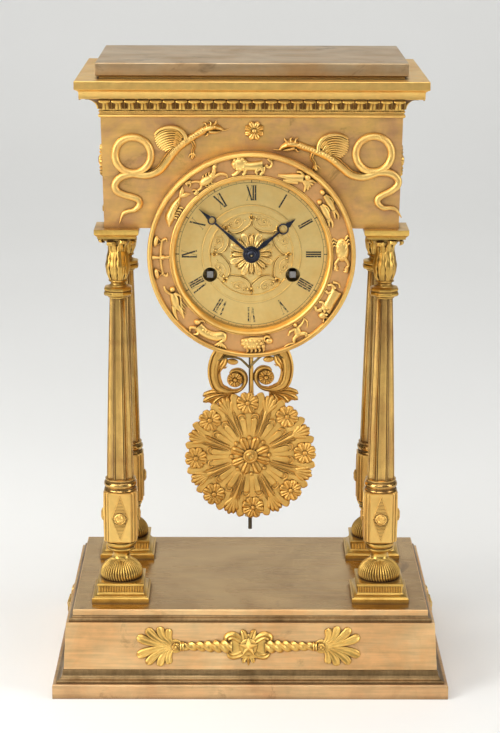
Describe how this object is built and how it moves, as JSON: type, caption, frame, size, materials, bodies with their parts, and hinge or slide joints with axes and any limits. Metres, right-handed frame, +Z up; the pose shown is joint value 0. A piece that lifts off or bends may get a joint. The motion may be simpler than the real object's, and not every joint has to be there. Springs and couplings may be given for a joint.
{
  "type": "portico mantel clock",
  "caption": "Gilt portico mantel clock: columns on a stepped base carry a frieze with a drum movement, round dial and a pendulum hanging below.",
  "frame": {"origin": "centre of the footprint, at the level the base stands on", "axes": "+Z up the clock's height, the dial faces -Y, +X to the viewer's right"},
  "size_m": [0.252, 0.168, 0.4],
  "materials": {
    "burnished_gilt": "burnished mercury gilding",
    "matte_gilt": "matte gilding worn to a copper tone",
    "deck_gilt": "brushed and dulled gilding",
    "dial_gilt": "satin gilt dial",
    "movement_brass": "polished brass",
    "bell_metal": "turned bell metal",
    "steel": "polished steel",
    "blued_steel": "blued steel",
    "board": "stained board"
  },
  "bodies": {
    "case": {"base_plinth": "burnished_gilt", "base_block": "matte_gilt", "base_deck": "deck_gilt", "base_board": "board", "base_front_mount": "burnished_gilt", "base_side_mount_left": "burnished_gilt", "base_side_mount_right": "burnished_gilt", "pedestal_fl": "burnished_gilt", "pedestal_fr": "burnished_gilt", "pedestal_rl": "burnished_gilt", "pedestal_rr": "burnished_gilt", "shaft_fl": "burnished_gilt", "shaft_fr": "burnished_gilt", "shaft_rl": "burnished_gilt", "shaft_rr": "burnished_gilt", "capital_fl": "burnished_gilt", "capital_fr": "burnished_gilt", "capital_rl": "burnished_gilt", "capital_rr": "burnished_gilt", "frieze_box": "matte_gilt", "cornice": "burnished_gilt", "top_slab": "matte_gilt", "frieze_rosette": "burnished_gilt", "serpent_left": "burnished_gilt", "serpent_right": "burnished_gilt", "frieze_wreath_left": "burnished_gilt", "frieze_wreath_right": "burnished_gilt", "drum_case": "movement_brass", "bezel": "burnished_gilt", "zodiac_reliefs": "burnished_gilt", "dial": "dial_gilt", "front_plate": "movement_brass", "back_plate": "movement_brass", "bell": "bell_metal", "suspension_cock": "movement_brass", "door_pin": "steel"},
    "hands": {"cannon_pinion": "steel", "minute_hand": "blued_steel", "hand_collet": "blued_steel"},
    "centre_arbor": {"centre_wheel": "movement_brass"},
    "hour_pipe": {"hour_wheel": "movement_brass", "hour_hand": "blued_steel"},
    "minute_work": {"minute_wheel": "movement_brass"},
    "intermediate": {"intermediate_wheel": "movement_brass"},
    "going_drum": {"going_barrel": "movement_brass"},
    "going_winder": {"going_arbor": "steel"},
    "third": {"third_wheel": "movement_brass"},
    "escapement_wheel": {"escape_wheel": "movement_brass"},
    "pallet_arbor": {"pallets": "steel"},
    "pendulum": {"pendulum_rod": "steel", "pendulum_crest": "matte_gilt"},
    "bob": {"pendulum_bob": "matte_gilt"},
    "nut": {"rating_nut": "movement_brass"},
    "strike_drum": {"strike_barrel": "movement_brass"},
    "strike_winder": {"strike_arbor": "steel"},
    "pin_arbor": {"pin_wheel": "movement_brass"},
    "fly_arbor": {"fly": "movement_brass"},
    "hammer_arbor": {"hammer": "steel"},
    "door": {"back_door": "movement_brass"}
  },
  "joints": [
    {"name": "minute_hand_turn", "type": "hinge", "parent": "case", "child": "hands", "pos_m": [0, 0, 0.2825], "axis": [0, 1, 0], "continuous": true},
    {"name": "centre_wheel_turn", "type": "hinge", "parent": "case", "child": "centre_arbor", "pos_m": [0, 0, 0.2825], "axis": [0, 1, 0], "continuous": true},
    {"name": "hour_hand_turn", "type": "hinge", "parent": "case", "child": "hour_pipe", "pos_m": [0, 0, 0.2825], "axis": [0, 1, 0], "continuous": true},
    {"name": "minute_wheel_turn", "type": "hinge", "parent": "case", "child": "minute_work", "pos_m": [0, 0, 0.2705], "axis": [0, 1, 0], "continuous": true},
    {"name": "intermediate_wheel_turn", "type": "hinge", "parent": "case", "child": "intermediate", "pos_m": [0.01578, 0, 0.28825], "axis": [0, 1, 0], "continuous": true},
    {"name": "going_barrel_turn", "type": "hinge", "parent": "case", "child": "going_drum", "pos_m": [0.0256, 0, 0.2696], "axis": [0, 1, 0], "continuous": true},
    {"name": "going_winding", "type": "hinge", "parent": "case", "child": "going_winder", "pos_m": [0.0256, 0, 0.2696], "axis": [0, 1, 0], "continuous": true},
    {"name": "third_wheel_turn", "type": "hinge", "parent": "case", "child": "third", "pos_m": [-0.01213, 0, 0.29382], "axis": [0, 1, 0], "continuous": true},
    {"name": "escape_wheel_turn", "type": "hinge", "parent": "case", "child": "escapement_wheel", "pos_m": [0, 0, 0.302], "axis": [0, 1, 0], "continuous": true},
    {"name": "pendulum_swing", "type": "hinge", "parent": "case", "child": "pendulum", "pos_m": [0, 0, 0.3205], "axis": [0, 1, 0], "range_deg": [-4, 4]},
    {"name": "pallets_rock", "type": "hinge", "parent": "case", "child": "pallet_arbor", "pos_m": [0, 0, 0.3205], "axis": [0, 1, 0], "range_deg": [-4, 4]},
    {"name": "bob_height", "type": "slide", "parent": "pendulum", "child": "bob", "axis": [0, 0, 1], "range_m": [-0.0014, 0.0014]},
    {"name": "rating_nut_turn", "type": "hinge", "parent": "bob", "child": "nut", "pos_m": [0, 0.008, 0.0952], "axis": [0, 0, 1], "range_deg": [-721, 721]},
    {"name": "strike_barrel_turn", "type": "hinge", "parent": "case", "child": "strike_drum", "pos_m": [-0.0256, 0, 0.2696], "axis": [0, 1, 0], "continuous": true},
    {"name": "strike_winding", "type": "hinge", "parent": "case", "child": "strike_winder", "pos_m": [-0.0256, 0, 0.2696], "axis": [0, 1, 0], "continuous": true},
    {"name": "pin_wheel_turn", "type": "hinge", "parent": "case", "child": "pin_arbor", "pos_m": [-0.02817, 0, 0.29052], "axis": [0, 1, 0], "continuous": true},
    {"name": "fly_turn", "type": "hinge", "parent": "case", "child": "fly_arbor", "pos_m": [-0.02386, 0, 0.30236], "axis": [0, 1, 0], "continuous": true},
    {"name": "hammer_lift", "type": "hinge", "parent": "case", "child": "hammer_arbor", "pos_m": [0.034, 0, 0.3005], "axis": [0, -1, 0], "range_deg": [0, 18], "stiffness_Nm_per_rad": 0.004},
    {"name": "back_door_swing", "type": "hinge", "parent": "case", "child": "door", "pos_m": [-0.0545, 0.055, 0.2825], "axis": [0, 0, 1], "range_deg": [0, 110]}
  ],
  "couplings": [
    {"joint": "hour_hand_turn", "follows": "minute_hand_turn", "ratio": 0.083333},
    {"joint": "minute_wheel_turn", "follows": "minute_hand_turn", "ratio": -0.33333},
    {"joint": "third_wheel_turn", "follows": "escape_wheel_turn", "ratio": -0.1},
    {"joint": "centre_wheel_turn", "follows": "escape_wheel_turn", "ratio": 0.0097222},
    {"joint": "intermediate_wheel_turn", "follows": "escape_wheel_turn", "ratio": -0.0016204},
    {"joint": "going_barrel_turn", "follows": "escape_wheel_turn", "ratio": 0.00021605},
    {"joint": "pallets_rock", "follows": "pendulum_swing", "ratio": 1},
    {"joint": "rating_nut_turn", "follows": "bob_height", "rad_per_m": 8976},
    {"joint": "pin_wheel_turn", "follows": "fly_turn", "ratio": -0.14286},
    {"joint": "strike_barrel_turn", "follows": "fly_turn", "ratio": 0.019048}
  ]
}
